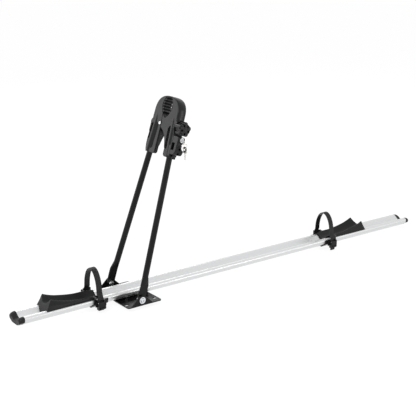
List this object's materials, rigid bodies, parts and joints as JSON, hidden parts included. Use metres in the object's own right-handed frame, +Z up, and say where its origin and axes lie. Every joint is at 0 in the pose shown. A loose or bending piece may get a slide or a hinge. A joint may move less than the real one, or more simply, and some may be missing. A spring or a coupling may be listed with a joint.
{
  "type": "roof mounted bike carrier",
  "caption": "Roof rail for one upright bicycle: extruded wheel rail on a foot plate, folding legs with a lockable frame clamp and sliding strapped wheel trays.",
  "frame": {"origin": "middle of the foot plate's underside, where the front roof bar bears", "axes": "+X along the rail towards its long end, +Y across it away from the knob, +Z up"},
  "size_m": [1.4, 0.1939, 0.5322],
  "materials": {
    "aluminium": "clear anodised, fine lengthwise extrusion lines",
    "cap_plastic": "moulded, fine grain",
    "powder_coat": "black powder coat, satin",
    "zinc_steel": "zinc plated",
    "nylon": "nylon",
    "jaw_plastic": "glass-filled nylon, fine grain",
    "pad_rubber": "moulded",
    "black_steel": "black oxide",
    "lock_chrome": "polished",
    "nut_brass": "turned",
    "knob_plastic": "polished mould",
    "key_nickel": "nickel plated",
    "tray_plastic": "moulded, fine grain",
    "strap_plastic": "semi-gloss"
  },
  "bodies": {
    "rail": {"rail": "aluminium", "end_cap_left": "cap_plastic", "end_cap_right": "cap_plastic", "base_plate": "powder_coat", "rail_bolts": "zinc_steel", "rail_nuts": "zinc_steel", "foot_bolts": "zinc_steel", "foot_nuts": "zinc_steel", "foot_spacers": "nylon"},
    "far_arm": {"leg_far": "powder_coat", "jaw_far": "jaw_plastic", "pad_far": "pad_rubber", "clamp_rod": "zinc_steel", "rod_nut": "zinc_steel", "rod_cap": "jaw_plastic", "rod_screw": "zinc_steel", "leg_screw_far": "black_steel"},
    "near_arm": {"leg_near": "powder_coat", "jaw_near": "jaw_plastic", "pad_near": "pad_rubber", "lock_housing": "jaw_plastic", "housing_screws": "black_steel", "lock_barrel": "lock_chrome", "leg_screw_near": "black_steel"},
    "clamp_nut": {"clamp_nut": "nut_brass"},
    "knob": {"knob": "knob_plastic", "knob_cap": "knob_plastic"},
    "lock_plug": {"lock_plug": "zinc_steel"},
    "key": {"key": "key_nickel"},
    "key_ring": {"key_ring": "key_nickel", "spare_key": "key_nickel"},
    "rear_cradle": {"tray_left": "tray_plastic", "tray_screws_left": "black_steel", "strap_carrier_left": "tray_plastic", "strap_left": "strap_plastic", "buckle_left": "tray_plastic", "buckle_pin_left": "zinc_steel"},
    "rear_release": {"release_tab_left": "tray_plastic"},
    "front_cradle": {"tray_right": "tray_plastic", "tray_screws_right": "black_steel", "strap_carrier_right": "tray_plastic", "strap_right": "strap_plastic", "buckle_right": "tray_plastic", "buckle_pin_right": "zinc_steel"},
    "front_release": {"release_tab_right": "tray_plastic"}
  },
  "joints": [
    {"name": "arm_fold", "type": "hinge", "parent": "rail", "child": "far_arm", "pos_m": [-0.0088, 0, 0.015], "axis": [0, 1, 0], "range_deg": [-30, 66]},
    {"name": "jaw_spread", "type": "hinge", "parent": "far_arm", "child": "near_arm", "pos_m": [-0.0088, -0.0769, 0.015], "axis": [0.9508, 0, -0.3098], "range_deg": [0, 2]},
    {"name": "knob_travel", "type": "slide", "parent": "far_arm", "child": "clamp_nut", "axis": [0, -1, 0], "range_m": [0, 0.0175]},
    {"name": "knob_turn", "type": "hinge", "parent": "clamp_nut", "child": "knob", "pos_m": [0.1328, -0.09, 0.44951], "axis": [0, -1, 0], "continuous": true},
    {"name": "lock_turn", "type": "hinge", "parent": "near_arm", "child": "lock_plug", "pos_m": [0.12406, -0.08, 0.4227], "axis": [0, 1, 0], "range_deg": [0, 90]},
    {"name": "key_pull", "type": "slide", "parent": "lock_plug", "child": "key", "axis": [0, -1, 0], "range_m": [0, 0.03]},
    {"name": "ring_swing", "type": "hinge", "parent": "key", "child": "key_ring", "pos_m": [0.12292, -0.09225, 0.41798], "axis": [1, 0, 0], "range_deg": [-60, 8]},
    {"name": "rear_cradle_slide", "type": "slide", "parent": "rail", "child": "rear_cradle", "axis": [1, 0, 0], "range_m": [-0.055, 0.025]},
    {"name": "rear_release_press", "type": "hinge", "parent": "rear_cradle", "child": "rear_release", "pos_m": [-0.1068, -0.0445, 0.0195], "axis": [-1, 0, 0], "range_deg": [0, 18], "stiffness_Nm_per_rad": 0.05, "springref_deg": -11.46},
    {"name": "front_cradle_slide", "type": "slide", "parent": "rail", "child": "front_cradle", "axis": [1, 0, 0], "range_m": [-0.12, 0.17]},
    {"name": "front_release_press", "type": "hinge", "parent": "front_cradle", "child": "front_release", "pos_m": [0.7152, -0.0445, 0.0195], "axis": [-1, 0, 0], "range_deg": [0, 18], "stiffness_Nm_per_rad": 0.05, "springref_deg": -11.46}
  ],
  "couplings": [
    {"joint": "knob_travel", "follows": "jaw_spread", "m_per_rad": 0.48}
  ]
}
